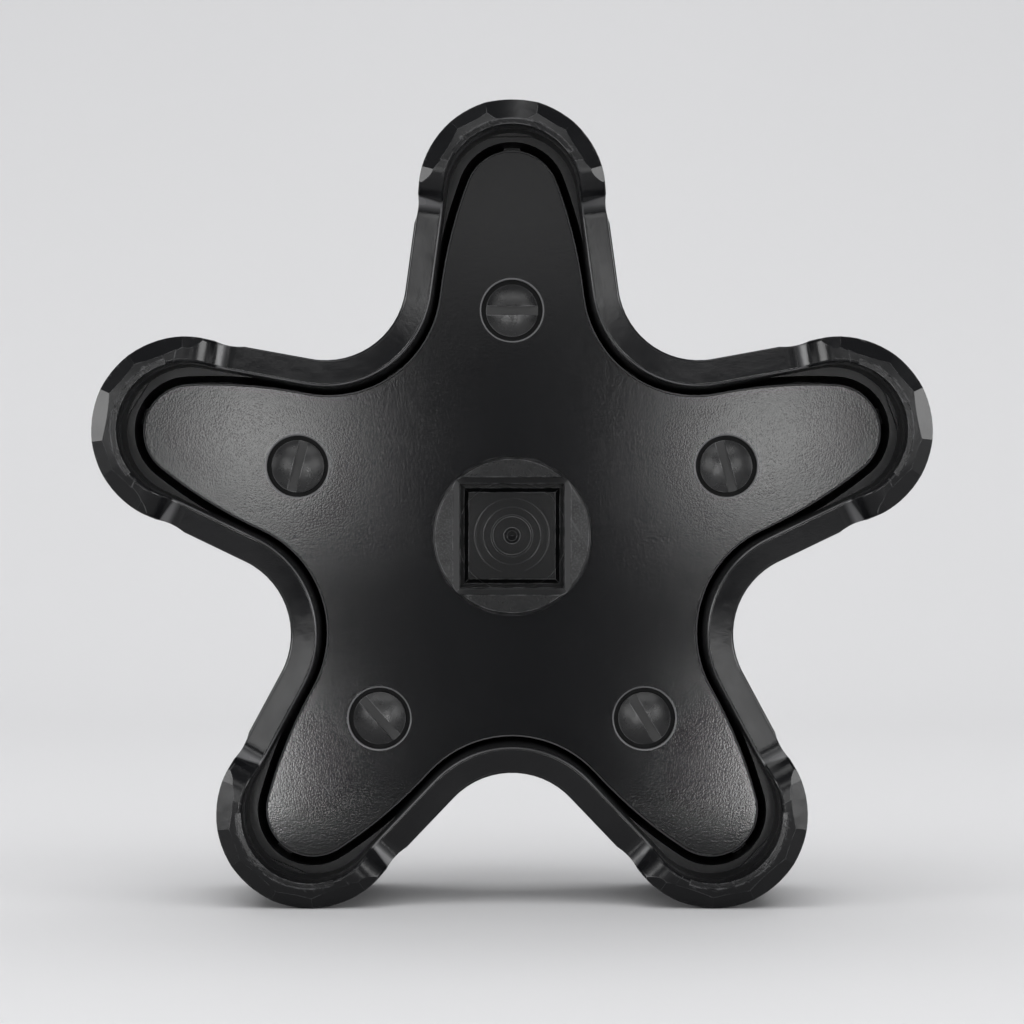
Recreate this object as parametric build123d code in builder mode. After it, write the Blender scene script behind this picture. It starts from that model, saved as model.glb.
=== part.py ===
"""Five-lobe star knob, standing on two of its lobes with its mounting side towards -Y.

Frame: millimetres, +Z up, origin on the knob's axis at the end face of the hub. The knob's axis
runs along Y. Heights along the axis are called "level": level 0 is the hub's end face, and a
higher level lies further out towards -Y.

Pieces: shell, cover_plate, hub, and five each of screw and insert, numbered clockwise from the
top lobe.
"""

from build123d import *
from math import atan2, cos, degrees, hypot, pi, radians, sin, sqrt, tan
import os

# ---- Driving dimensions -----------------------------------------------------------------------

LOBES = 5
FLANGE_SIDES = 6

# Outline of the rim, seen along the axis
tip_centre = 60.5  # axis to the centre of a lobe's end arc
tip_radius = 16.5  # end arc of a lobe
lobe_taper = 7.7  # degrees by which each flank leans out towards the hub
valley_reach = 42.0  # axis to the rim midway between two lobes
rim_width = 4.65  # inner edge of the rim to its outside
wall_draft = 2.5  # degrees, inner wall of the shell

# Levels of the shell
rim_height = 8.2  # cover plate to the top of the rim
crest_height = 4.8  # top of the rim to the top of a crest
back_depth = 26.5  # cover plate to the middle of the shell's back
back_wall = 5.0  # floor of the cavity to the back
crown_radius = 900.0  # sphere of the crowned back
lip_drop = 0.8  # fall of the rim's top from its inner edge to the outside
rim_round = 0.6  # outer edge of the rim and the crests
back_round = 4.5  # outer edge of the back
inner_round = 0.45  # inner edge of the rim

# Shoulders and ramps at the crests
foot_at = 56.8  # axis to the foot of a ramp, along the lobe
foot_radius = 4.6  # rounding at the foot of the ramp
shoulder_radius = 5.2  # rounding at the top of the ramp
ramp_angle = 52.0  # degrees, steepest part of the ramp
shoulder_cap = 1.4  # level top of a shoulder, along the flank
neck_at = 59.4  # axis to the middle of the hollow in the flank below a shoulder, along the lobe
neck_radius = 10.0
neck_depth = 0.35

# Hewn facets round the outside of a crest, and the scoop in the middle of the top one
facet_slope = 30.0  # degrees from the plane of the rim
facet_width = 3.2  # level run of a facet, inwards from the outside of the crest
facet_turns = (-86.0, -58.0, -29.0, 0.0, 30.0, 57.0, 85.0)  # degrees about the tip's centre
facet_cuts = (0.0, 0.25, -0.1, 0.2, 0.0, 0.3, -0.05)  # deeper or shallower than the others
facet_shifts = (0.0, 8.0, -6.0, 5.0, -9.0)  # degrees, lobes clockwise from the top
scoop_radius = 18.0
scoop_depth = 0.6

# Inner ledge on a crest, and the plinth at the foot of the wall
ledge_radius = 12.9  # outer edge of the ledge, about the tip's centre
ledge_drop = 0.7
ledge_turn = 56.0  # degrees each side of the lobe's middle
plinth_gap = 1.3  # plate's edge to the plinth
plinth_height = 1.5  # above the cover plate

# Cover plate
plate_thickness = 3.0
plate_gap = 0.9  # plate's edge to the shell's wall in the valleys
plate_tip_gap = 2.6  # the same at a lobe's end
plate_tip_radius = 8.55
plate_flank_radius = 84.6
plate_edge = 0.4

# Hub
hub_radius = 14.15
hub_proud = 1.2  # hub's end face above the cover plate
hub_chamfer = 0.35
hub_depth = 14.0  # end face to the pocket's floor
flange_flats = 32.0  # hexagonal flange under the plate, across flats
hub_hole_gap = 0.15  # hub in the plate's hole, all round
pocket_gap = 0.2  # flange in its pocket, all round
socket_side = 19.0
socket_depth = 7.0
socket_chamfer = 1.1
chamfer_slope = 45.0  # degrees
pad_side = 17.3  # square left standing on the socket's floor
pad_height = 1.0
pad_chamfer = 0.75
centre_mark_radius = 1.4
centre_mark_depth = 0.6

# Screws and inserts
screw_circle_radius = 40.6  # radius of the circle of screws
head_radius = 4.7
head_edge = 1.1  # straight side of the head
head_dome = 0.9
screw_radius = 2.5
screw_length = 13.0  # under the head
screw_end_chamfer = 0.8
slot_width = 1.7
slot_depth = 1.1
slot_turns = (0.0, 105.0, 121.0, 132.0, 76.0)  # degrees, screws clockwise from the top
counterbore_gap = 0.85  # head to the counterbore's wall
counterbore_depth = 1.9
counterbore_chamfer = 0.25
head_web = 2.3  # plate under the head
plate_pad_wall = 2.2  # wall of the plate's pad round a counterbore
screw_hole_gap = 0.25
insert_radius = 3.6
insert_length = 10.0
insert_gap = 0.05
thread_gap = 0.1
insert_collar_length = 1.5
insert_groove = 0.4
boss_wall = 2.6
boss_clear = 2.0  # free depth under an insert

# Inside of the shell
hub_boss_wall = 4.0
rib_width = 3.0
rib_drop = 4.0  # top of the ribs below the plate's underside

# Snap beads on the wall at the lobes' ends
bead_width = 7.5
bead_proud = 0.6
bead_height = 1.0
bead_level = 2.8  # top of the bead above the cover plate
bead_turns = (0.0, -2.0, -9.0, -13.0, 14.0)  # degrees off the lobe's middle, clockwise from the top

# ---- Values worked out from them --------------------------------------------------------------

edge_match = 0.01  # how near an edge's middle lies to the outline it belongs to
half_step = 180.0 / LOBES
plate_level = -hub_proud
plate_under = plate_level - plate_thickness
rim_level = plate_level + rim_height
crest_level = rim_level + crest_height
back_level = plate_level - back_depth
floor_level = back_level + back_wall
counterbore_level = plate_level - counterbore_depth
pad_under = counterbore_level - head_web
rib_level = plate_under - rib_drop

taper_sine = sin(radians(lobe_taper))
taper_cosine = cos(radians(lobe_taper))
valley_centre = (valley_reach - tip_radius - tip_centre * taper_sine) / (
    1 - sin(radians(lobe_taper + half_step))
)
valley_radius = valley_centre - valley_reach
lobe_turns = [Rotation(0, 2 * half_step * lobe, 0) for lobe in range(LOBES)]
outer_reach = tip_centre + tip_radius
hub_boss_radius = (flange_flats / 2 + pocket_gap) / cos(pi / FLANGE_SIDES) + hub_boss_wall


def level(height):
    """Plane across the knob's axis, looking out towards -Y."""
    return Plane.XZ.offset(height)


def at_lobe(across, along, turn=0.0):
    """Point given across and along the top lobe, turned clockwise to another lobe."""
    sine, cosine = sin(radians(turn)), cos(radians(turn))
    return (across * cosine + along * sine, along * cosine - across * sine)


screw_seats = [at_lobe(0, screw_circle_radius, 2 * half_step * lobe) for lobe in range(LOBES)]


def wall_inset(height):
    """Inset of the shell's drafted inner wall from the rim's outline at a level."""
    return rim_width + (rim_level - height) * tan(radians(wall_draft))


def rim_outline(inset, mode=Mode.ADD):
    """Draw the rim's outline, set in by a distance, as a face in the open sketch."""
    tip = tip_radius - inset
    valley = valley_radius + inset
    tip_across, tip_along = tip * taper_cosine, tip_centre + tip * taper_sine
    valley_across = valley_centre * sin(radians(half_step)) - valley * taper_cosine
    valley_along = valley_centre * cos(radians(half_step)) - valley * taper_sine
    with BuildLine() as outline:
        for lobe in range(LOBES):
            turn = 2 * half_step * lobe
            left_tip = at_lobe(-tip_across, tip_along, turn)
            right_tip = at_lobe(tip_across, tip_along, turn)
            right_valley = at_lobe(valley_across, valley_along, turn)
            next_valley = at_lobe(-valley_across, valley_along, turn + 2 * half_step)
            next_tip = at_lobe(-tip_across, tip_along, turn + 2 * half_step)
            ThreePointArc(left_tip, at_lobe(0, tip_centre + tip, turn), right_tip)
            Line(right_tip, right_valley)
            ThreePointArc(
                right_valley, at_lobe(0, valley_reach - inset, turn + half_step), next_valley
            )
            Line(next_valley, next_tip)
    make_face(outline.edges(), mode=mode)


def rim_distance(point):
    """How far a point lies outside the rim's outline."""
    turn = degrees(atan2(point.X, point.Z)) + half_step
    turn = turn % (2 * half_step) - half_step
    radius = hypot(point.X, point.Z)
    across, along = radius * sin(radians(abs(turn))), radius * cos(radians(turn))
    from_tip = (across, along - tip_centre)
    from_valley = (
        across - valley_centre * sin(radians(half_step)),
        along - valley_centre * cos(radians(half_step)),
    )
    if from_tip[0] * taper_sine - from_tip[1] * taper_cosine < 0:
        return hypot(*from_tip) - tip_radius
    if from_valley[0] * taper_sine - from_valley[1] * taper_cosine > 0:
        return valley_radius - hypot(*from_valley)
    return from_tip[0] * taper_cosine + from_tip[1] * taper_sine - tip_radius


# The plate's lobes taper more than the rim's: a small end arc, a long flank arc on each side of
# it, and the valley arc, each tangent to the next.
plate_reach = outer_reach - wall_inset(plate_level) - plate_tip_gap
plate_tip_centre = plate_reach - plate_tip_radius
plate_valley_reach = valley_reach - wall_inset(plate_level) - plate_gap
plate_valley_radius = valley_centre - plate_valley_reach
valley_across = valley_centre * sin(radians(half_step))
valley_along = valley_centre * cos(radians(half_step))
centre_distance = hypot(valley_across, valley_along - plate_tip_centre)
to_tip = plate_flank_radius - plate_tip_radius
to_valley = plate_flank_radius + plate_valley_radius
foot_along = (to_tip**2 - to_valley**2 + centre_distance**2) / (2 * centre_distance)
foot_off = sqrt(to_tip**2 - foot_along**2)
line_across = valley_across / centre_distance
line_along = (valley_along - plate_tip_centre) / centre_distance
arc_across = line_across * foot_along + line_along * foot_off
arc_along = plate_tip_centre + line_along * foot_along - line_across * foot_off


def plate_outline(inset, mode=Mode.ADD):
    """Draw the cover plate's outline, set in by a distance, as a face in the open sketch."""
    tip = plate_tip_radius - inset
    flank = plate_flank_radius - inset

    def toward(start, end, distance):
        span = hypot(end[0] - start[0], end[1] - start[1])
        return [s + (e - s) * distance / span for s, e in zip(start, end)]

    flank_centre = (arc_across, arc_along)
    tip_side = toward(flank_centre, (0, plate_tip_centre), flank)
    valley_side = toward(flank_centre, (valley_across, valley_along), flank)
    middle = [(t + v) / 2 for t, v in zip(tip_side, valley_side)]
    flank_side = toward(flank_centre, middle, flank)
    with BuildLine() as outline:
        for lobe in range(LOBES):
            turn = 2 * half_step * lobe
            for side in (-1, 1):
                ThreePointArc(
                    at_lobe(side * tip_side[0], tip_side[1], turn),
                    at_lobe(side * flank_side[0], flank_side[1], turn),
                    at_lobe(side * valley_side[0], valley_side[1], turn),
                )
            ThreePointArc(
                at_lobe(-tip_side[0], tip_side[1], turn),
                at_lobe(0, plate_tip_centre + tip, turn),
                at_lobe(tip_side[0], tip_side[1], turn),
            )
            ThreePointArc(
                at_lobe(valley_side[0], valley_side[1], turn),
                at_lobe(0, plate_valley_reach - inset, turn + half_step),
                at_lobe(-valley_side[0], valley_side[1], turn + 2 * half_step),
            )
    make_face(outline.edges(), mode=mode)


# ---- Shell ------------------------------------------------------------------------------------

def flank_across(along):
    """Distance from a lobe's middle to its flank."""
    lean = (tip_centre + tip_radius * taper_sine - along) * taper_sine / taper_cosine
    return tip_radius * taper_cosine + lean


def along_outside(edge):
    """Whether an edge runs along the rim's top, a ramp or a crest, at the outside of a lobe."""
    points = edge @ 0, edge @ 0.5, edge @ 1
    spread = max(abs(rim_distance(point)) for point in points)
    lowest = min(-point.Y for point in points)
    return spread < edge_match and lowest > rim_level - lip_drop - edge_match


def along_inside(edge):
    """Whether an edge runs along the rim's top or a ramp, at the inner wall."""
    points = edge @ 0, edge @ 0.5, edge @ 1
    spread = max(abs(rim_distance(point) + wall_inset(-point.Y)) for point in points)
    lowest = min(-point.Y for point in points)
    return spread < edge_match and lowest > rim_level - inner_round


# The top of the rim falls outwards, and the ramps and crests with it.
lip_run = rim_width + inner_round  # past the inner edge, which is cut afterwards
lip_length = hypot(lip_run, lip_drop)
lip_cosine, lip_sine = lip_run / lip_length, lip_drop / lip_length
blank_level = rim_level - 2 * lip_drop  # below the top of the rim at its outside

# The S-shaped ramp that leads down to the rim behind the right shoulder of the top lobe. It is
# drawn along the flank, with its foot at zero and the crest on the negative side, and square to
# the fall of the rim's top.
ramp_sine, ramp_cosine = sin(radians(ramp_angle)), cos(radians(ramp_angle))
ramp_height = crest_height * lip_cosine
ramp_straight = (
    ramp_height - (foot_radius + shoulder_radius) * (1 - ramp_cosine)
) / ramp_sine
ramp_run = (foot_radius + shoulder_radius) * ramp_sine + ramp_straight * ramp_cosine
ramp_end = ramp_run + shoulder_cap
blank_end = ramp_end + rim_width  # cut back once the edges are rounded
ramp_plane = Plane(
    origin=(flank_across(foot_at), lip_drop - rim_level, foot_at),
    x_dir=(taper_sine, 0, -taper_cosine),
    z_dir=(-taper_cosine * lip_cosine, -lip_sine, -taper_sine * lip_cosine),
)

with BuildPart() as ramp:
    with BuildSketch(ramp_plane):
        with BuildLine():
            Polyline(
                (-ramp_run, ramp_height),
                (-blank_end, ramp_height),
                (-blank_end, -lip_drop),
                (foot_radius, -lip_drop),
                (foot_radius, 0),
                (0, 0),
            )
            foot_arc = RadiusArc(
                (0, 0),
                (-foot_radius * ramp_sine, foot_radius * (1 - ramp_cosine)),
                foot_radius,
            )
            shoulder_arc = RadiusArc(
                (-ramp_run, ramp_height),
                (
                    shoulder_radius * ramp_sine - ramp_run,
                    ramp_height - shoulder_radius * (1 - ramp_cosine),
                ),
                shoulder_radius,
            )
            Line(foot_arc @ 1, shoulder_arc @ 1)
        make_face()
    extrude(amount=2 * lip_length, both=True)
    with BuildSketch(level(blank_level)):
        rim_outline(0)
    extrude(amount=crest_height + 2 * lip_drop, mode=Mode.INTERSECT)
    with BuildSketch(level(blank_level)):
        rim_outline(wall_inset(blank_level))
    extrude(amount=crest_height + 2 * lip_drop, taper=-wall_draft, mode=Mode.SUBTRACT)
    crossing = ramp.edges().filter_by(Axis.Y, reverse=True)
    fillet(crossing.filter_by(along_outside), rim_round)
    fillet(ramp.edges().filter_by(along_inside), inner_round)
    foot_plane = Plane(ramp_plane.origin, z_dir=ramp_plane.x_dir)
    split(bisect_by=foot_plane, keep=Keep.BOTTOM)
    split(bisect_by=foot_plane.offset(-ramp_end), keep=Keep.TOP)
    mirror(about=Plane.YZ)

# The crest between the two shoulders of the top lobe, turned about the lobe's end
cap_across = flank_across(foot_at) - ramp_end * taper_sine
cap_along = foot_at + ramp_end * taper_cosine
crest_turn = degrees(atan2(cap_across, cap_along - tip_centre))
crest_fall = lip_drop / lip_run
crest_run = (rim_width + (lip_drop - crest_height) * tan(radians(wall_draft))) / (
    1 + crest_fall * tan(radians(wall_draft))
)
tip_axis = Axis((0, 0, tip_centre), (0, 1, 0))

with BuildPart() as crest:
    start_x, start_z = at_lobe(0, 1, -crest_turn)
    with BuildSketch(
        Plane(origin=(0, 0, tip_centre), x_dir=(start_x, 0, start_z), z_dir=(start_z, 0, -start_x))
    ) as crest_section:
        with BuildLine():
            Polyline(
                (tip_radius, blank_level),
                (tip_radius, crest_level - lip_drop),
                (tip_radius - crest_run, crest_level - lip_drop + crest_run * crest_fall),
                (tip_radius - wall_inset(blank_level), blank_level),
                close=True,
            )
        make_face()
        top_corners = crest_section.vertices().group_by(Axis.Y)
        fillet(top_corners[-2], rim_round)
        fillet(crest_section.vertices().group_by(Axis.Y)[-1], inner_round)
    revolve(axis=tip_axis, revolution_arc=2 * crest_turn)
    add(ramp.part)

wall_reach = outer_reach - rim_width
valley_wall_reach = valley_reach - rim_width
bead_reach = tip_radius - wall_inset(plate_level + bead_level) - bead_proud


os.makedirs("parts", exist_ok=True)

facet_planes = []
for lobe, shift in enumerate(facet_shifts):
    lobe_turn = 2 * half_step * lobe
    tip_x, tip_z = at_lobe(0, tip_centre, lobe_turn)
    for turn, cut in zip(facet_turns, facet_cuts):
        out_x, out_z = at_lobe(0, 1, lobe_turn + turn + shift * cos(radians(turn)))
        start = tip_radius - facet_width - cut
        facet_planes.append(
            Plane(
                origin=(tip_x + start * out_x, -crest_level, tip_z + start * out_z),
                x_dir=(out_z, 0, -out_x),
                z_dir=(
                    out_x * sin(radians(facet_slope)),
                    -cos(radians(facet_slope)),
                    out_z * sin(radians(facet_slope)),
                ),
            )
        )
scoop_plane = facet_planes[len(facet_turns) // 2]  # middle facet of the top lobe

with BuildPart() as shell:
    # Body with its crowned back
    with BuildSketch(level(back_level)):
        rim_outline(0)
    extrude(amount=rim_level - back_level)
    with Locations((0, -back_level - crown_radius, 0)):
        Sphere(crown_radius, mode=Mode.INTERSECT)
    back_edges = shell.edges().filter_by(
        lambda edge: abs(rim_distance(edge @ 0.5)) < edge_match
        and -(edge @ 0.5).Y < floor_level
    )
    fillet(back_edges, back_round)

    # Rim all round, and the drafted cavity in it
    rim_top = shell.faces().sort_by(Axis.Y)[0]
    chamfer(rim_top.edges(), lip_run, lip_drop, reference=rim_top)
    fillet(shell.edges().filter_by(along_outside), rim_round)
    with BuildSketch(level(floor_level)):
        rim_outline(wall_inset(floor_level))
    extrude(amount=rim_level - floor_level, taper=-wall_draft, mode=Mode.SUBTRACT)
    fillet(shell.edges().filter_by(along_inside), inner_round)

    # Crests and ramps on the rim
    with Locations(*lobe_turns):
        add(crest.part)

    # Hollows in the flanks below the shoulders
    with BuildSketch(level(back_level)):
        for lobe in range(LOBES):
            for side in (-1, 1):
                across = side * (flank_across(neck_at) + (neck_radius - neck_depth) / taper_cosine)
                with Locations(at_lobe(across, neck_at, 2 * half_step * lobe)):
                    Circle(neck_radius)
    extrude(amount=crest_level - back_level, mode=Mode.SUBTRACT)

    # Facets, then the ledge inside each crest
    with Locations(*facet_planes):
        Box(
            2 * tip_radius, 2 * tip_radius, crest_height,
            align=(Align.CENTER, Align.CENTER, Align.MIN), mode=Mode.SUBTRACT,
        )
    with Locations(scoop_plane):
        with Locations((0, 0, scoop_radius - scoop_depth)):
            Cylinder(scoop_radius, 2 * tip_radius, rotation=(90, 0, 0), mode=Mode.SUBTRACT)
    with BuildSketch(level(crest_level - ledge_drop)):
        for lobe in range(LOBES):
            turn = 2 * half_step * lobe
            start, middle, end = [
                at_lobe(
                    ledge_radius * sin(radians(about_tip)),
                    tip_centre + ledge_radius * cos(radians(about_tip)),
                    turn,
                )
                for about_tip in (-ledge_turn, 0, ledge_turn)
            ]
            with BuildLine():
                Line(at_lobe(0, tip_centre, turn), start)
                ThreePointArc(start, middle, end)
                Line(end, at_lobe(0, tip_centre, turn))
            make_face()
    extrude(amount=crest_height, mode=Mode.SUBTRACT)

    # Plinths at the feet of the walls, and the snap beads above them
    with BuildSketch(level(floor_level)):
        rim_outline(rim_width / 2)
        plate_outline(-plinth_gap, mode=Mode.SUBTRACT)
    extrude(amount=plate_level + plinth_height - floor_level)
    with BuildSketch(level(plate_level + bead_level - bead_height)):
        for lobe, bead_turn in enumerate(bead_turns):
            out = at_lobe(0, bead_reach + rim_width / 2, bead_turn)
            place = at_lobe(out[0], tip_centre + out[1], 2 * half_step * lobe)
            with Locations(Location(place, -2 * half_step * lobe - bead_turn)):
                Rectangle(bead_width, rim_width)
    extrude(amount=bead_height)

    # Bosses and ribs on the floor
    with BuildSketch(level(floor_level)):
        for lobe in range(LOBES):
            with Locations(Location((0, 0), -2 * half_step * lobe)):
                Rectangle(rib_width, wall_reach, align=(Align.CENTER, Align.MIN))
            with Locations(Location((0, 0), -2 * half_step * lobe - half_step)):
                Rectangle(rib_width, valley_wall_reach, align=(Align.CENTER, Align.MIN))
    extrude(amount=rib_level - floor_level)
    with BuildSketch(level(floor_level)):
        with Locations(*screw_seats):
            Circle(insert_radius + boss_wall)
    extrude(amount=pad_under - floor_level)
    with BuildSketch(level(floor_level)):
        Circle(hub_boss_radius)
    extrude(amount=plate_under - floor_level)
    with BuildSketch(level(plate_under)):
        RegularPolygon(flange_flats / 2 + pocket_gap, FLANGE_SIDES, major_radius=False)
    extrude(amount=plate_under - hub_depth, mode=Mode.SUBTRACT)
    with BuildSketch(level(pad_under)):
        with Locations(*screw_seats):
            Circle(insert_radius + insert_gap)
    extrude(amount=-(insert_length + boss_clear), mode=Mode.SUBTRACT)
shell.part.label = "shell"
export_step(shell.part, "parts/shell.step")

# ---- Cover plate ------------------------------------------------------------------------------

with BuildPart() as cover_plate:
    with BuildSketch(level(plate_under)):
        plate_outline(0)
    extrude(amount=plate_thickness)
    fillet(cover_plate.faces().sort_by(Axis.Y)[0].edges(), plate_edge)
    with BuildSketch(level(pad_under)):
        with Locations(*screw_seats):
            Circle(head_radius + counterbore_gap + plate_pad_wall)
    extrude(amount=plate_under - pad_under)
    with BuildSketch(level(pad_under)):
        Circle(hub_radius + hub_hole_gap)
    extrude(amount=plate_level - pad_under, mode=Mode.SUBTRACT)
    with BuildSketch(level(counterbore_level)):
        with Locations(*screw_seats):
            Circle(head_radius + counterbore_gap)
    extrude(amount=counterbore_depth, mode=Mode.SUBTRACT)
    mouths = cover_plate.edges(Select.LAST).group_by(Axis.Y)[0]
    chamfer(mouths, counterbore_chamfer)
    with BuildSketch(level(pad_under)):
        with Locations(*screw_seats):
            Circle(screw_radius + screw_hole_gap)
    extrude(amount=head_web, mode=Mode.SUBTRACT)
cover_plate.part.label = "cover_plate"
export_step(cover_plate.part, "parts/cover_plate.step")

# ---- Hub --------------------------------------------------------------------------------------

with BuildPart() as hub:
    with BuildSketch(level(-hub_depth)):
        RegularPolygon(flange_flats / 2, FLANGE_SIDES, major_radius=False)
    extrude(amount=hub_depth + plate_under)
    with BuildSketch(level(plate_under)):
        Circle(hub_radius)
    extrude(amount=-plate_under)
    chamfer(hub.faces().sort_by(Axis.Y)[0].edges(), hub_chamfer)
    with BuildSketch(level(0)):
        Rectangle(socket_side, socket_side)
    extrude(amount=-socket_depth, mode=Mode.SUBTRACT)
    with BuildSketch(level(0)):
        Rectangle(socket_side + 2 * socket_chamfer, socket_side + 2 * socket_chamfer)
    extrude(amount=-socket_chamfer, taper=chamfer_slope, mode=Mode.SUBTRACT)

    # Square pad on the socket's floor, with the turning centre in it
    with BuildSketch(level(-socket_depth)):
        Rectangle(pad_side, pad_side)
    extrude(amount=pad_height)
    pad_edges = hub.edges(Select.LAST).group_by(Axis.Y)[0]
    chamfer(pad_edges, pad_chamfer)
    with Locations(Plane.XZ.offset(pad_height - socket_depth)):
        Cone(
            0, centre_mark_radius, centre_mark_depth,
            align=(Align.CENTER, Align.CENTER, Align.MAX), mode=Mode.SUBTRACT,
        )
hub.part.label = "hub"
export_step(hub.part, "parts/hub.step")

# ---- Screws and inserts -----------------------------------------------------------------------

for lobe, slot_turn in enumerate(slot_turns):
    seat_x, seat_z = screw_seats[lobe]
    screw_axis = Axis((seat_x, 0, seat_z), (0, 1, 0))
    seat = Plane(origin=(seat_x, -counterbore_level, seat_z), x_dir=(1, 0, 0), z_dir=(0, 0, -1))
    with BuildPart() as screw:
        with BuildSketch(seat):
            with BuildLine():
                Polyline(
                    (head_radius, head_edge),
                    (head_radius, 0),
                    (screw_radius, 0),
                    (screw_radius, screw_end_chamfer - screw_length),
                    (screw_radius - screw_end_chamfer, -screw_length),
                    (0, -screw_length),
                    (0, head_edge + head_dome),
                )
                TangentArc(
                    (0, head_edge + head_dome), (head_radius, head_edge), tangent=(1, 0)
                )
            make_face()
        revolve(axis=screw_axis)
        slot_face = Plane(
            origin=(seat_x, -(counterbore_level + head_edge + head_dome), seat_z),
            x_dir=(cos(radians(slot_turn)), 0, sin(radians(slot_turn))),
            z_dir=(0, -1, 0),
        )
        with BuildSketch(slot_face):
            Rectangle(2 * head_radius + slot_width, slot_width)
        extrude(amount=-slot_depth, mode=Mode.SUBTRACT)
    screw.part.label = f"screw_{lobe + 1}"
    export_step(screw.part, f"parts/screw_{lobe + 1}.step")

    insert_seat = Plane(origin=(seat_x, -pad_under, seat_z), x_dir=(1, 0, 0), z_dir=(0, 0, -1))
    with BuildPart() as insert:
        with BuildSketch(insert_seat):
            with BuildLine():
                Polyline(
                    (screw_radius + thread_gap, 0),
                    (insert_radius, 0),
                    (insert_radius, -insert_collar_length),
                    (insert_radius - insert_groove, -insert_collar_length),
                    (insert_radius - insert_groove, insert_collar_length - insert_length),
                    (insert_radius, insert_collar_length - insert_length),
                    (insert_radius, -insert_length),
                    (screw_radius + thread_gap, -insert_length),
                    close=True,
                )
            make_face()
        revolve(axis=screw_axis)
    insert.part.label = f"insert_{lobe + 1}"
    export_step(insert.part, f"parts/insert_{lobe + 1}.step")
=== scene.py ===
"""Dresses the star knob's solids for a studio picture.

The solids come from model.glb and stay as they are. This add-on gives each one its finish and
builds the stage: the sweep, the soft boxes, the world and the camera. The knob's axis is Y, and
its cover plate looks along -Y. Sizes are in metres.
"""

import math

import bmesh
import bpy
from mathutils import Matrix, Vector


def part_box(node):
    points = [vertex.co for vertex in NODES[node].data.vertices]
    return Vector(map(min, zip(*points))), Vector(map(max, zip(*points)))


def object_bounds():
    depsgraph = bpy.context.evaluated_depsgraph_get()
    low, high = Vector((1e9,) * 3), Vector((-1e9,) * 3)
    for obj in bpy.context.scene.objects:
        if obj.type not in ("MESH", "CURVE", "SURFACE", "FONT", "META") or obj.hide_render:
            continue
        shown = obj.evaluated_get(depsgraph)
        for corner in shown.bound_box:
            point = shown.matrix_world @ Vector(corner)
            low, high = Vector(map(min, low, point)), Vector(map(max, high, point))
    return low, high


bl_info = {
    "name": "Star knob",
    "version": (1, 0, 0),
    "blender": (4, 5, 0),
    "location": "View3D > Sidebar > Star knob",
    "description": "Finishes and studio stage for a five-lobe star knob",
    "category": "Object",
}

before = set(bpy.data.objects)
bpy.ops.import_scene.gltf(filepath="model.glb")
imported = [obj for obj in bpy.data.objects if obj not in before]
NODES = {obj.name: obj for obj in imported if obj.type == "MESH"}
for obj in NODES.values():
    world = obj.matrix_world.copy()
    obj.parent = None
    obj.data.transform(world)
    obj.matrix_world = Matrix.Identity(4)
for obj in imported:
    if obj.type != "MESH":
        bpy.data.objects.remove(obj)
SOLID_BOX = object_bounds()
FLOOR = SOLID_BOX[0][2]
PLATE_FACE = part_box("cover_plate")[0][1]

# The rim between the lobes: its front, and the distances from it where the painted highlight line
# along its lips sets in and is full
RIM_TOP = -0.0070
RIM_HIGHLIGHT_LINE = (0.0009, 0.0005)

# Levels along the axis where a finish sets in and where it is full; at the slot's floor this is
# painted shade, at the socket's mouth a painted highlight
CREST = (-0.0085, -0.0100)
INNER_WALL = (-0.0068, -0.0050)
COUNTERBORE = (PLATE_FACE + 0.0005, PLATE_FACE + 0.0010)
SHADED_SLOT_FLOOR = (0.0019, 0.0021)
HUB_END_FACE = (0.0002, 0.0001)
SOCKET_MOUTH_HIGHLIGHT = (0.0016, 0.0012)
SOCKET_PAD = (0.0050, 0.0058)

# Turned rings on the socket's pad: radius, half width, strength
RINGS = (
    (0.00090, 0.00008, 0.35),
    (0.00150, 0.00010, 0.9),
    (0.00345, 0.00010, 0.9),
    (0.00380, 0.00008, 0.4),
    (0.00520, 0.00008, 0.18),
    (0.00680, 0.00007, 0.1),
    (0.01000, 0.00009, 0.5),
)


# ---- Sizes and colours that a user would change -------------------------------------------------


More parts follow.
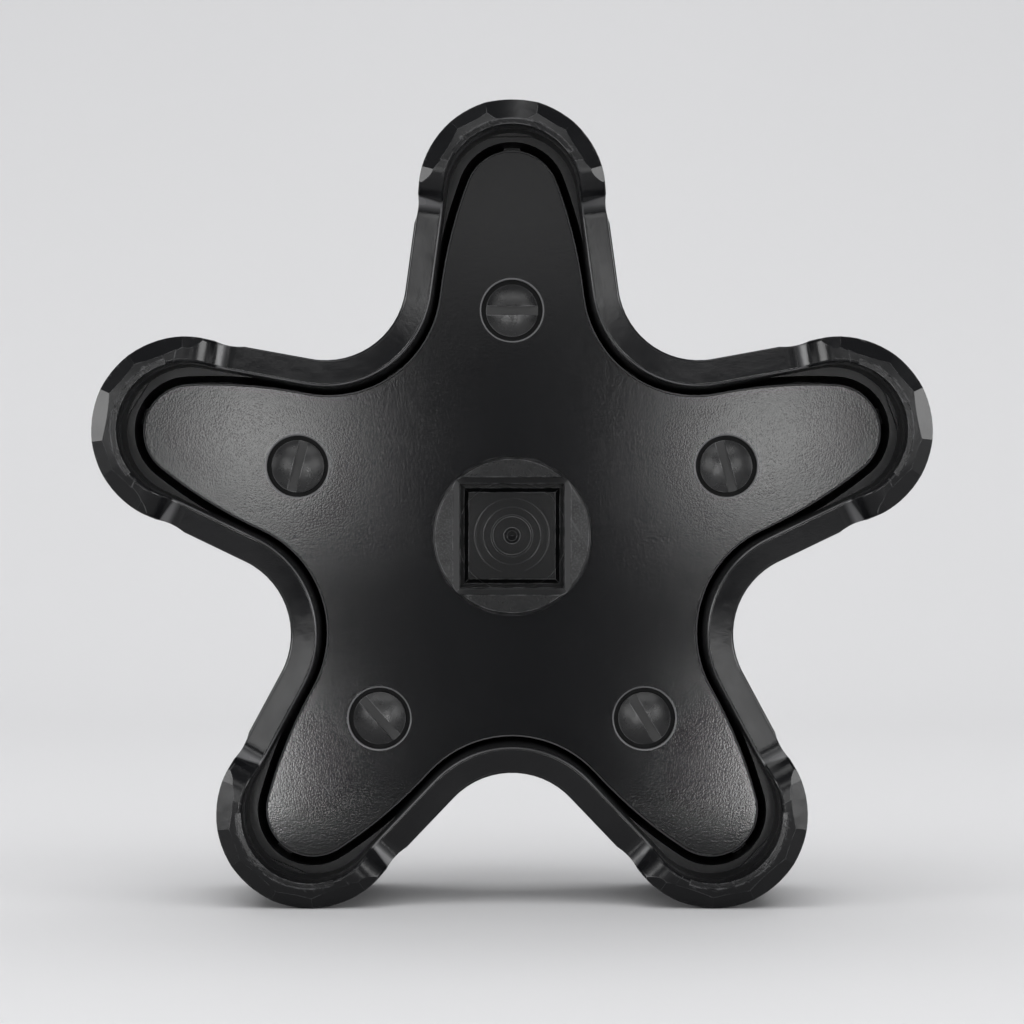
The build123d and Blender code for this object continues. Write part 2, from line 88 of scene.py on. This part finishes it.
class KNOB_PG_finishes(bpy.types.PropertyGroup):
    """Colours and scales of the knob's finishes."""

    shell_color: bpy.props.FloatVectorProperty(
        name="Shell colour", description="Moulded shell", subtype="COLOR", size=3,
        min=0.0, max=1.0, default=(0.0052, 0.0053, 0.0060),
    )
    # Also the colour of the painted highlight lines on the rim's lips and the plate's edges.
    rubbed_and_highlight_color: bpy.props.FloatVectorProperty(
        name="Rubbed edges", description="Plastic whitened by handling", subtype="COLOR", size=3,
        min=0.0, max=1.0, default=(0.20, 0.20, 0.205),
    )
    plate_color: bpy.props.FloatVectorProperty(
        name="Plate colour", description="Cover plate", subtype="COLOR", size=3,
        min=0.0, max=1.0, default=(0.0060, 0.0061, 0.0068),
    )
    hub_color: bpy.props.FloatVectorProperty(
        name="Hub colour", description="Blackened steel in the socket", subtype="COLOR", size=3,
        min=0.0, max=1.0, default=(0.0065, 0.0066, 0.0070),
    )
    # Also the colour of the painted sheen on the hub's side segments and of the painted highlight
    # on its socket's mouth.
    scuff_and_sheen_color: bpy.props.FloatVectorProperty(
        name="Scuffed steel", description="End face of the hub", subtype="COLOR", size=3,
        min=0.0, max=1.0, default=(0.048, 0.048, 0.049),
    )
    screw_color: bpy.props.FloatVectorProperty(
        name="Screw colour", description="Black oxide on the screws", subtype="COLOR", size=3,
        min=0.0, max=1.0, default=(0.0095, 0.0096, 0.0102),
    )
    brass_color: bpy.props.FloatVectorProperty(
        name="Insert colour", description="Turned brass", subtype="COLOR", size=3,
        min=0.0, max=1.0, default=(0.72, 0.52, 0.25),
    )
    grain_size: bpy.props.FloatProperty(
        name="Grain", description="Width of a pebble in the plate's grain",
        subtype="DISTANCE", unit="LENGTH", min=0.0001, default=0.0003,
    )
    worn_edge: bpy.props.FloatProperty(
        name="Worn edge", description="How far the wear reaches from an edge",
        subtype="DISTANCE", unit="LENGTH", min=0.00005, default=0.00025,
    )


class KNOB_PG_stage(bpy.types.PropertyGroup):
    """Sizes of the studio stage."""

    camera_distance: bpy.props.FloatProperty(
        name="Camera distance", description="Lens to the cover plate",
        subtype="DISTANCE", unit="LENGTH", min=0.1, default=0.5,
    )
    camera_rise: bpy.props.FloatProperty(
        name="Camera rise", description="Lens above the knob's axis",
        subtype="DISTANCE", unit="LENGTH", default=0.0043,
    )
    lens: bpy.props.FloatProperty(
        name="Lens", description="Focal length in millimetres", min=10.0, default=97.7,
    )
    floor_color: bpy.props.FloatVectorProperty(
        name="Sweep colour", description="Paper of the floor and backdrop", subtype="COLOR",
        size=3, min=0.0, max=1.0, default=(0.70, 0.70, 0.71),
    )
    sweep_depth: bpy.props.FloatProperty(
        name="Sweep depth", description="Knob to the wall of the sweep",
        subtype="DISTANCE", unit="LENGTH", min=0.2, default=1.1,
    )
    sweep_round: bpy.props.FloatProperty(
        name="Sweep rounding", description="Radius between floor and wall",
        subtype="DISTANCE", unit="LENGTH", min=0.1, default=0.7,
    )


# ---- Small helpers for nodes --------------------------------------------------------------------


def new_material(name):
    """A material with only its output and a Principled shader."""
    material = bpy.data.materials.new(name)
    material.use_nodes = True
    tree = material.node_tree
    tree.nodes.clear()
    output = tree.nodes.new("ShaderNodeOutputMaterial")
    shader = tree.nodes.new("ShaderNodeBsdfPrincipled")
    tree.links.new(shader.outputs["BSDF"], output.inputs["Surface"])
    return material, tree, shader


def feed(tree, socket, value):
    """Links another node's output into a socket, or sets the socket to a value."""
    if isinstance(value, bpy.types.NodeSocket):
        tree.links.new(value, socket)
    else:
        socket.default_value = value


def put(tree, kind, links=(), **settings):
    """Adds a node, sets its properties and feeds its sockets."""
    node = tree.nodes.new(kind)
    for name, value in settings.items():
        setattr(node, name, value)
    for socket, value in links:
        feed(tree, node.inputs[socket], value)
    return node


def math_node(tree, operation, first, second=0.0, third=0.0, clamp=False):
    """A Math node's output."""
    node = put(
        tree, "ShaderNodeMath", [(0, first), (1, second), (2, third)],
        operation=operation, use_clamp=clamp,
    )
    return node.outputs[0]


def product(tree, first, *others):
    """Masks and amounts multiplied together."""
    for other in others:
        first = math_node(tree, "MULTIPLY", first, other)
    return first


def layered(tree, base, *layers):
    """A base value with each mask added in its amount."""
    for mask, amount in layers:
        base = math_node(tree, "MULTIPLY_ADD", mask, amount, base)
    return base


def distance(tree, first, second):
    """How far two values lie apart."""
    return math_node(tree, "ABSOLUTE", math_node(tree, "SUBTRACT", first, second))


def ramp_between(tree, value, ends, low=0.0, high=1.0):
    """Goes smoothly from low to high as the value goes from one end to the other."""
    node = put(
        tree, "ShaderNodeMapRange",
        [("Value", value), ("From Min", ends[0]), ("From Max", ends[1]), ("To Min", low),
         ("To Max", high)],
        interpolation_type="SMOOTHSTEP",
    )
    return node.outputs["Result"]


def mix_colors(tree, factor, first, second):
    """A colour between two."""
    node = put(tree, "ShaderNodeMix", data_type="RGBA")
    used = {socket.name: socket for socket in node.inputs if socket.enabled}
    feed(tree, used["Factor"], factor)
    for label, color in (("A", first), ("B", second)):
        is_socket = isinstance(color, bpy.types.NodeSocket)
        feed(tree, used[label], color if is_socket else (*color, 1.0))
    return [socket for socket in node.outputs if socket.enabled][0]


def noise(tree, place, scale, detail=2.0, roughness=0.5, distortion=0.0):
    """Noise texture value, with its scale in lumps per metre."""
    node = put(
        tree, "ShaderNodeTexNoise",
        [("Vector", place), ("Scale", scale), ("Detail", detail), ("Roughness", roughness),
         ("Distortion", distortion)],
    )
    return node.outputs["Fac"]


def object_place(tree):
    """Object coordinates."""
    return put(tree, "ShaderNodeTexCoord").outputs["Object"]


def split_axes(tree, vector):
    """The X, Y and Z outputs of a vector."""
    return put(tree, "ShaderNodeSeparateXYZ", [("Vector", vector)]).outputs


def rounded_band(tree, steep, flat):
    """Mask that is 1 where a face turns between flank and front, as a rounded edge does."""
    rise, fall = 0.25, 0.12
    normal = put(tree, "ShaderNodeTexCoord").outputs["Normal"]
    front = math_node(tree, "ABSOLUTE", split_axes(tree, normal)["Y"])
    rising = ramp_between(tree, front, (steep, steep + rise))
    falling = ramp_between(tree, front, (flat - fall, flat), 1.0, 0.0)
    return product(tree, rising, falling)


def bumped(tree, height, strength, depth=0.0001, under=None):
    """The normal of a surface with a height pattern on it, over another normal if given."""
    links = [("Height", height), ("Strength", strength), ("Distance", depth)]
    if under is not None:
        links.append(("Normal", under))
    return put(tree, "ShaderNodeBump", links).outputs["Normal"]


def dress(tree, shader, color, rough, normal=None):
    """Feeds a shader's colour, roughness and normal."""
    feed(tree, shader.inputs["Base Color"], color)
    feed(tree, shader.inputs["Roughness"], rough)
    if normal is not None:
        tree.links.new(normal, shader.inputs["Normal"])


def give(material, first_word):
    """Puts a material in every slot of the nodes whose names start with a word."""
    for name in NODES:
        if name.startswith(first_word):
            piece = NODES[name]
            if not piece.material_slots:
                piece.data.materials.append(material)
            for slot in piece.material_slots:
                slot.material = material


# ---- Shared effects -----------------------------------------------------------------------------


def new_group(name, result, numbers, vectors=()):
    """An empty node group with vector inputs, number inputs with defaults, and one output."""
    group = bpy.data.node_groups.new(name, "ShaderNodeTree")
    for label in vectors:
        group.interface.new_socket(name=label, in_out="INPUT", socket_type="NodeSocketVector")
    for label, default in numbers.items():
        socket = group.interface.new_socket(
            name=label, in_out="INPUT", socket_type="NodeSocketFloat"
        )
        socket.default_value = default
    group.interface.new_socket(name=result, in_out="OUTPUT", socket_type="NodeSocketFloat")
    entry = group.nodes.new("NodeGroupInput")
    leave = group.nodes.new("NodeGroupOutput")
    return group, entry.outputs, leave.inputs[result]


def edge_wear_group():
    """Mask that is 1 where a sharp edge is rubbed and 0 on the faces."""
    group, given, result = new_group(
        "edge_wear", "Mask", {"Reach": 0.0003, "Breaks": 900.0, "Amount": 0.7, "Sharp": 0.03}
    )
    rounded = put(group, "ShaderNodeBevel", [("Radius", given["Reach"])], samples=6)
    face = put(group, "ShaderNodeNewGeometry").outputs["Normal"]
    along = put(
        group, "ShaderNodeVectorMath", [(0, rounded.outputs["Normal"]), (1, face)],
        operation="DOT_PRODUCT",
    ).outputs["Value"]
    turned = math_node(group, "SUBTRACT", 1.0, along)
    blunt = math_node(group, "MULTIPLY", given["Sharp"], 0.1)
    edge = ramp_between(group, turned, (blunt, given["Sharp"]))
    breaks = noise(group, object_place(group), given["Breaks"], detail=3.0, roughness=0.6)
    patches = ramp_between(group, breaks, (0.38, 0.62))
    worn = math_node(group, "MULTIPLY", edge, patches)
    worn = math_node(group, "MULTIPLY", worn, given["Amount"], clamp=True)
    group.links.new(worn, result)
    return group


def pebble_group():
    """Height of a fine leather-like grain."""
    group, given, result = new_group("pebble_grain", "Height", {"Size": 0.0005})
    place = object_place(group)
    scale = math_node(group, "DIVIDE", 1.0, given["Size"])
    cells = put(
        group, "ShaderNodeTexVoronoi",
        [("Vector", place), ("Scale", scale), ("Smoothness", 0.6), ("Randomness", 1.0)],
        feature="SMOOTH_F1",
    ).outputs["Distance"]
    soft = noise(group, place, scale, detail=2.0, roughness=0.6)
    group.links.new(layered(group, soft, (cells, -0.6)), result)
    return group


def smudge_group():
    """Cloudy mask of handled, slightly polished patches."""
    group, given, result = new_group(
        "smudges", "Mask", {"Scale": 60.0, "Low": 0.35, "High": 0.7}
    )
    broad = noise(
        group, object_place(group), given["Scale"], detail=4.0, roughness=0.55, distortion=0.4
    )
    group.links.new(ramp_between(group, broad, (given["Low"], given["High"])), result)
    return group


def scratch_group():
    """Mask of fine straight scratches lying about one direction."""
    group, given, result = new_group(
        "scratches", "Mask", {"Density": 600.0, "Length": 20.0, "Rare": 0.68}, vectors=["Turn"]
    )
    deepest = 0.78
    turned = put(
        group, "ShaderNodeVectorRotate",
        [("Vector", object_place(group)), ("Rotation", given["Turn"])],
        rotation_type="EULER_XYZ",
    ).outputs["Vector"]
    axes = put(
        group, "ShaderNodeCombineXYZ",
        [("X", given["Density"]), ("Y", given["Density"]), ("Z", given["Length"])],
    ).outputs["Vector"]
    spread = put(
        group, "ShaderNodeVectorMath", [(0, turned), (1, axes)], operation="MULTIPLY"
    ).outputs["Vector"]
    lines = noise(group, spread, 1.0, detail=1.0, roughness=0.4, distortion=0.15)
    group.links.new(ramp_between(group, lines, (given["Rare"], deepest)), result)
    return group


EFFECTS = {
    "edge_wear": edge_wear_group,
    "pebble_grain": pebble_group,
    "smudges": smudge_group,
    "scratches": scratch_group,
}


def effect(tree, name, **values):
    """Places a shared effect, made on first use, in a material with its own values."""
    node = put(tree, "ShaderNodeGroup")
    node.node_tree = bpy.data.node_groups.get(name) or EFFECTS[name]()
    for label, value in values.items():
        feed(tree, node.inputs[label], value)
    return node.outputs[0]


# ---- Operators: one for each finish, and the stage ----------------------------------------------


class KNOB_OT_shell(bpy.types.Operator):
    """Finish the moulded shell in satin black with rubbed edges, scuffed crests and a painted
    highlight line along the rim's lips
    """

    bl_idname = "knob.shell"
    bl_label = "Shell"

    def execute(self, context):
        finishes = context.scene.knob_finishes
        material, tree, shader = new_material("shell_satin_black")
        place = object_place(tree)
        level = split_axes(tree, place)["Y"]
        crest = ramp_between(tree, level, CREST)
        inside = ramp_between(tree, level, INNER_WALL)
        worn = self.worn(tree, finishes, place, level, crest)
        color = mix_colors(tree, worn, finishes.shell_color, finishes.rubbed_and_highlight_color)
        smudges = effect(tree, "smudges", Scale=120.0, Low=0.35, High=0.7)
        rough = layered(tree, 0.15, (smudges, 0.05), (inside, 0.18), (crest, 0.07), (worn, 0.2))
        grain = effect(tree, "pebble_grain", Size=finishes.grain_size)
        normal = bumped(tree, grain, 0.08)
        waves = noise(tree, place, 230.0)
        normal = bumped(tree, waves, 0.06, depth=0.001, under=normal)
        dress(tree, shader, color, rough, normal)
        give(material, "shell")
        return {"FINISHED"}

    def worn(self, tree, finishes, place, level, crest):
        """Rubbed edges and scuffs on the crests, and a painted highlight line along the rim's
        lips.
        """
        rubbed = effect(
            tree, "edge_wear", Reach=finishes.worn_edge, Breaks=420.0, Amount=0.5, Sharp=0.03
        )
        scuffed = effect(
            tree, "edge_wear", Reach=4 * finishes.worn_edge, Breaks=330.0, Amount=0.5, Sharp=0.08
        )
        streaks = effect(
            tree, "scratches", Turn=(0.4, 0.9, 0.2), Density=2400.0, Length=500.0, Rare=0.5
        )
        scuffed = product(tree, scuffed, streaks, crest)
        near_top = ramp_between(tree, distance(tree, level, RIM_TOP), RIM_HIGHLIGHT_LINE)
        # Painted highlight: a light line along the rounded edges of the rim's lips, uneven in
        # strength.
        lip = product(tree, rounded_band(tree, 0.25, 0.97), near_top)
        handled = ramp_between(tree, noise(tree, place, 70.0), (0.35, 0.65), 0.25, 0.6)
        worn = math_node(tree, "MAXIMUM", product(tree, rubbed, crest), scuffed)
        return math_node(tree, "MAXIMUM", worn, product(tree, lip, handled))


class KNOB_OT_cover_plate(bpy.types.Operator):
    """Finish the cover plate in black with a fine leather-like grain and a painted highlight line
    along its rounded edges
    """

    bl_idname = "knob.cover_plate"
    bl_label = "Cover plate"

    def execute(self, context):
        finishes = context.scene.knob_finishes
        material, tree, shader = new_material("plate_grained_black")
        recess = ramp_between(tree, split_axes(tree, object_place(tree))["Y"], COUNTERBORE)
        wear = effect(
            tree, "edge_wear", Reach=finishes.worn_edge, Breaks=300.0, Amount=0.4, Sharp=0.04
        )
        # Painted highlight: a light line along the plate's rounded edges and the rims of the
        # counterbores.
        edge = product(tree, rounded_band(tree, 0.15, 0.995), 0.95)
        wear = math_node(tree, "MAXIMUM", wear, edge)
        wear = product(tree, wear, math_node(tree, "SUBTRACT", 1.0, recess))
        color = mix_colors(tree, wear, finishes.plate_color, finishes.rubbed_and_highlight_color)
        smudges = effect(tree, "smudges", Scale=45.0, Low=0.3, High=0.75)
        grain = effect(tree, "pebble_grain", Size=finishes.grain_size)
        rough = layered(tree, 0.092, (smudges, 0.012), (grain, 0.055), (recess, 0.6))
        dress(tree, shader, color, rough, bumped(tree, grain, 0.085))
        give(material, "cover_plate")
        return {"FINISHED"}


class KNOB_OT_hub(bpy.types.Operator):
    """Finish the hub in blackened steel, scuffed on its end face with a painted sheen at its
    sides, and turned in the socket
    """

    bl_idname = "knob.hub"
    bl_label = "Hub"

    def execute(self, context):
        finishes = context.scene.knob_finishes
        material, tree, shader = new_material("hub_blackened_steel")
        place = object_place(tree)
        axes = split_axes(tree, place)
        end_face = ramp_between(tree, axes["Y"], HUB_END_FACE)
        pad = ramp_between(tree, axes["Y"], SOCKET_PAD)
        flank = math_node(tree, "SUBTRACT", 1.0, math_node(tree, "MAXIMUM", end_face, pad))
        beside = self.sheen_segments(tree, axes)
        radius, rings = self.rings(tree, axes, pad)

        # Scuffed steel on the end face, with a painted sheen on its left and right segments and a
        # painted highlight on the socket's mouth.
        scuffs = self.scuffs(tree, place, axes, end_face, flank, beside)
        color = mix_colors(tree, scuffs, finishes.hub_color, finishes.scuff_and_sheen_color)
        wear = effect(
            tree, "edge_wear", Reach=finishes.worn_edge, Breaks=420.0, Amount=1.0, Sharp=0.05
        )
        color = mix_colors(tree, product(tree, wear, 0.7), color, finishes.rubbed_and_highlight_color)
        broken = ramp_between(
            tree, noise(tree, place, 240.0, roughness=0.6), (0.3, 0.6), 0.25, 1.0
        )
        bright_rings = product(tree, rings, broken)
        bright_rings = math_node(tree, "MULTIPLY", bright_rings, 0.4, clamp=True)
        color = mix_colors(tree, bright_rings, color, finishes.rubbed_and_highlight_color)

        dulled = product(tree, end_face, product(tree, beside, 0.22))
        rough = layered(tree, math_node(tree, "ADD", dulled, 0.18), (flank, 0.5))

        line = put(tree, "ShaderNodeCombineXYZ", [("X", radius)]).outputs["Vector"]
        tool_marks = noise(tree, line, 4200.0, detail=1.0)
        grit = product(tree, noise(tree, place, 3000.0, detail=3.0, roughness=0.65), end_face)
        height = layered(tree, rings, (tool_marks, 0.35), (grit, 0.5))
        dress(tree, shader, color, rough, bumped(tree, height, 0.3))
        shader.inputs["Specular IOR Level"].default_value = 0.4
        give(material, "hub")
        return {"FINISHED"}

    def sheen_segments(self, tree, axes):
        """Mask of the end face's left and right segments, which are painted lighter as a sheen."""
        across = math_node(tree, "ABSOLUTE", axes["X"])
        along = math_node(tree, "ABSOLUTE", axes["Z"])
        return ramp_between(tree, math_node(tree, "SUBTRACT", across, along), (-0.002, 0.002))

    def scuffs(self, tree, place, axes, end_face, flank, beside):
        """Smudges, speckle and scratches on the end face and a painted highlight on the socket's
        mouth, all weighted to the left and right segments as a painted sheen.
        """
        smudges = effect(tree, "smudges", Scale=260.0, Low=0.35, High=0.65)
        scratched = effect(
            tree, "scratches", Turn=(0.0, 0.5, 0.0), Density=1500.0, Length=130.0, Rare=0.66
        )
        speckle = ramp_between(tree, noise(tree, place, 2600.0, roughness=0.7), (0.45, 0.7))
        scuffs = layered(tree, 0.1, (smudges, 0.35), (speckle, 0.9), (scratched, 1.5))
        # Painted highlight on the socket's mouth and on the hub's rim next to its end face.
        mouth = product(tree, ramp_between(tree, axes["Y"], SOCKET_MOUTH_HIGHLIGHT), flank)
        scuffs = layered(tree, product(tree, scuffs, end_face), (mouth, 1.4))
        # Painted sheen: the left and right segments get nearly all of the light colour, and the
        # top and bottom get little.
        sheen_share = layered(tree, 0.12, (beside, 0.88))
        return math_node(tree, "MULTIPLY", scuffs, sheen_share, clamp=True)

    def rings(self, tree, axes, pad):
        """Distance from the axis, and the turned rings that lie on the pad."""
        flat = put(
            tree, "ShaderNodeCombineXYZ", [("X", axes["X"]), ("Y", axes["Z"])]
        ).outputs["Vector"]
        radius = put(
            tree, "ShaderNodeVectorMath", [(0, flat)], operation="LENGTH"
        ).outputs["Value"]
        rings = 0.0
        for ring, half_width, strength in RINGS:
            off = distance(tree, radius, ring)
            line = ramp_between(tree, off, (half_width, 0.0), 0.0, strength)
            rings = math_node(tree, "ADD", rings, line)
        return radius, product(tree, rings, pad)


class KNOB_OT_screws(bpy.types.Operator):
    """Finish the slotted screws in black oxide, with painted shade in the slots"""

    bl_idname = "knob.screws"
    bl_label = "Screws"

    def execute(self, context):
        finishes = context.scene.knob_finishes
        material, tree, shader = new_material("screw_black_oxide")
        place = object_place(tree)
        slot = ramp_between(tree, split_axes(tree, place)["Y"], SHADED_SLOT_FLOOR)
        wear = effect(
            tree, "edge_wear", Reach=finishes.worn_edge, Breaks=300.0, Amount=0.6, Sharp=0.05
        )
        # Painted shade: the floors of the slots take the plate's darker colour.
        color = mix_colors(tree, slot, finishes.screw_color, finishes.plate_color)
        color = mix_colors(tree, wear, color, finishes.rubbed_and_highlight_color)
        smudges = effect(tree, "smudges", Scale=400.0, Low=0.35, High=0.7)
        rough = layered(tree, 0.27, (smudges, 0.02), (slot, 0.2))
        fine = noise(tree, place, 2600.0, roughness=0.6)
        dress(tree, shader, color, rough, bumped(tree, fine, 0.12))
        shader.inputs["Specular IOR Level"].default_value = 0.85
        give(material, "screw")
        return {"FINISHED"}


class KNOB_OT_inserts(bpy.types.Operator):
    """Finish the threaded inserts in turned brass"""

    bl_idname = "knob.inserts"
    bl_label = "Inserts"

    def execute(self, context):
        finishes = context.scene.knob_finishes
        material, tree, shader = new_material("insert_turned_brass")
        place = object_place(tree)
        cloud = noise(tree, place, 500.0, detail=3.0, roughness=0.6)
        dull = [channel * 0.8 for channel in finishes.brass_color]
        color = mix_colors(tree, cloud, dull, finishes.brass_color)
        rough = layered(tree, 0.28, (cloud, 0.15))
        along_axis = put(
            tree, "ShaderNodeMapping", [("Vector", place), ("Scale", (60.0, 4000.0, 60.0))]
        ).outputs["Vector"]
        turned = noise(tree, along_axis, 1.0, detail=1.0)
        dress(tree, shader, color, rough, bumped(tree, turned, 0.15))
        shader.inputs["Metallic"].default_value = 1.0
        give(material, "insert")
        return {"FINISHED"}


def soft_box(name, place, aim, size, power, mirrored=True):
    """A rectangular area lamp that looks at a point and is hidden from the camera."""
    lamp = bpy.data.lights.new(name, "AREA")
    lamp.shape = "RECTANGLE"
    lamp.size, lamp.size_y = size
    lamp.energy = power
    holder = bpy.data.objects.new(name, lamp)
    holder.location = place
    holder.rotation_euler = (Vector(aim) - Vector(place)).to_track_quat("-Z", "Y").to_euler()
    holder.visible_camera = False
    holder.visible_glossy = mirrored
    bpy.context.scene.collection.objects.link(holder)


class KNOB_OT_stage(bpy.types.Operator):
    """Build the paper sweep, the soft boxes, the world and the camera"""

    bl_idname = "knob.stage"
    bl_label = "Stage"

    def execute(self, context):
        scene = context.scene
        stage = scene.knob_stage
        self.sweep(scene, stage)
        self.lights()
        self.world(scene)
        self.camera(scene, stage)
        scene.view_settings.view_transform = "Standard"
        return {"FINISHED"}

    def sweep(self, scene, stage):
        """Floor, quarter round and wall, with the paper falling gently away in front."""
        half_width = 3.0
        front, wall, top = -0.10, stage.sweep_depth, 2.5
        fall_radius, fall_turn, fall_length = 0.6, math.radians(14), 1.3
        radius = stage.sweep_round
        bm = bmesh.new()
        start = [bm.verts.new((x, front, FLOOR)) for x in (half_width, -half_width)]
        edge = [bm.edges.new(start)]
        line = self.drawn(bm, edge, (0, wall - radius - front, 0))
        line = self.rounded(bm, line, (0, wall - radius, FLOOR + radius), math.radians(90))
        self.drawn(bm, line, (0, 0, top - radius))
        line = self.rounded(bm, edge, (0, front, FLOOR - fall_radius), fall_turn)
        self.drawn(
            bm, line,
            (0, -fall_length * math.cos(fall_turn), -fall_length * math.sin(fall_turn)),
        )
        bmesh.ops.remove_doubles(bm, verts=bm.verts, dist=1e-6)
        bmesh.ops.recalc_face_normals(bm, faces=bm.faces)
        mesh = bpy.data.meshes.new("sweep")
        bm.to_mesh(mesh)
        bm.free()
        mesh.shade_smooth()
        sweep = bpy.data.objects.new("sweep", mesh)
        scene.collection.objects.link(sweep)
        mesh.materials.append(self.paper(stage))

    def drawn(self, bm, edges, move):
        """Extrudes an edge by a move and returns the new edge."""
        grown = bmesh.ops.extrude_edge_only(bm, edges=edges)["geom"]
        ends = [item for item in grown if isinstance(item, bmesh.types.BMVert)]
        bmesh.ops.translate(bm, verts=ends, vec=move)
        return [e for e in bm.edges if all(vert in ends for vert in e.verts)]

    def rounded(self, bm, edges, centre, turn):
        """Spins an edge about a line across the sweep and returns the last edge."""
        geometry = edges + [vert for edge in edges for vert in edge.verts]
        spun = bmesh.ops.spin(
            bm, geom=geometry, cent=centre, axis=(1, 0, 0), angle=turn, steps=32,
        )
        return [item for item in spun["geom_last"] if isinstance(item, bmesh.types.BMEdge)]

    def paper(self, stage):
        """Matt paper, dimmer where the knob mirrors it, so that the black stays deep."""
        material, tree, shader = new_material("sweep_paper")
        clouded, dimmed = 0.985, 0.4
        cloud = noise(tree, object_place(tree), 3.0)
        darker = [channel * clouded for channel in stage.floor_color]
        color = mix_colors(tree, cloud, darker, stage.floor_color)
        mirrored = put(tree, "ShaderNodeLightPath").outputs["Is Glossy Ray"]
        dim = [channel * dimmed for channel in stage.floor_color]
        dress(tree, shader, mix_colors(tree, mirrored, color, dim), 0.6)
        shader.inputs["Specular IOR Level"].default_value = 0.3
        return material

    def lights(self):
        """Small soft boxes beside the lens, larger ones at the sides, overhead and behind."""
        middle = (0, 0, 0)
        for side in (-1, 1):
            low, beside = side * 0.168, side * 0.14
            soft_box("low_strip", (low, -1.0, -0.13), (low, 0, -0.13), (0.06, 0.08), 0.36)
            soft_box("strip", (beside, -1.0, 0.045), (beside, 0, 0.045), (0.075, 0.1), 0.2)
            soft_box("fill", (side * 0.44, -1.0, 0.1), middle, (0.2, 0.34), 0.6)
            soft_box("side_box", (side * 1.1, -0.5, 0.22), middle, (0.6, 0.5), 4.8)
        soft_box("high_strip", (0, -1.0, 0.18), (0, 0, 0.18), (0.16, 0.12), 0.045)
        soft_box("high_box", (0, -0.9, 0.5), middle, (0.9, 0.16), 0.9)
        soft_box("top_strip", (-0.08, -0.1, 0.9), middle, (0.35, 0.5), 0.9)
        soft_box("top_box", (0, -0.5, 1.5), (0, -0.25, 0), (2.6, 2.0), 23.5, mirrored=False)
        soft_box(
            "back_box", (0, 0.6, 1.1), (0, -0.35, -0.07), (1.8, 0.5), 6.5, mirrored=False
        )

    def world(self, scene):
        """Dim surroundings that look pale to the camera beyond the edges of the sweep."""
        dim, pale = 0.07, 0.69
        world = bpy.data.worlds.new("studio")
        world.use_nodes = True
        tree = world.node_tree
        sky = tree.nodes["Background"]
        sky.inputs["Color"].default_value = (0.92, 0.95, 1.0, 1.0)
        seen = put(tree, "ShaderNodeLightPath").outputs["Is Camera Ray"]
        feed(tree, sky.inputs["Strength"], layered(tree, dim, (seen, pale - dim)))
        scene.world = world

    def camera(self, scene, stage):
        """Camera square to the cover plate."""
        camera = bpy.data.cameras.new("camera")
        camera.lens = stage.lens
        camera.sensor_width = 36.0
        camera.clip_start = 0.01
        camera.clip_end = 20.0
        holder = bpy.data.objects.new("camera", camera)
        holder.location = (0, PLATE_FACE - stage.camera_distance, stage.camera_rise)
        holder.rotation_euler = (math.radians(90), 0, 0)
        scene.collection.objects.link(holder)
        scene.camera = holder


# ---- Panel and registration ---------------------------------------------------------------------


class KNOB_PT_panel(bpy.types.Panel):
    """Star knob tools"""

    bl_idname = "KNOB_PT_panel"
    bl_label = "Star knob"
    bl_space_type = "VIEW_3D"
    bl_region_type = "UI"
    bl_category = "Star knob"

    def draw(self, context):
        self.settings(context.scene.knob_finishes)
        for finish in STEPS[:-1]:
            self.layout.operator(finish.bl_idname)
        self.settings(context.scene.knob_stage)
        self.layout.operator(KNOB_OT_stage.bl_idname)

    def settings(self, group):
        """Lists a group's settings."""
        for name in group.bl_rna.properties.keys():
            if name not in ("rna_type", "name"):
                self.layout.prop(group, name)


STEPS = (
    KNOB_OT_shell,
    KNOB_OT_cover_plate,
    KNOB_OT_hub,
    KNOB_OT_screws,
    KNOB_OT_inserts,
    KNOB_OT_stage,
)
CLASSES = (KNOB_PG_finishes, KNOB_PG_stage, *STEPS, KNOB_PT_panel)


def register():
    for cls in CLASSES:
        bpy.utils.register_class(cls)
    bpy.types.Scene.knob_finishes = bpy.props.PointerProperty(type=KNOB_PG_finishes)
    bpy.types.Scene.knob_stage = bpy.props.PointerProperty(type=KNOB_PG_stage)


def unregister():
    del bpy.types.Scene.knob_stage
    del bpy.types.Scene.knob_finishes
    for cls in reversed(CLASSES):
        bpy.utils.unregister_class(cls)


def main():
    register()
    bpy.ops.knob.stage()
    bpy.ops.knob.shell()
    bpy.ops.knob.cover_plate()
    bpy.ops.knob.hub()
    bpy.ops.knob.screws()
    bpy.ops.knob.inserts()


if __name__ == "__main__":
    main()
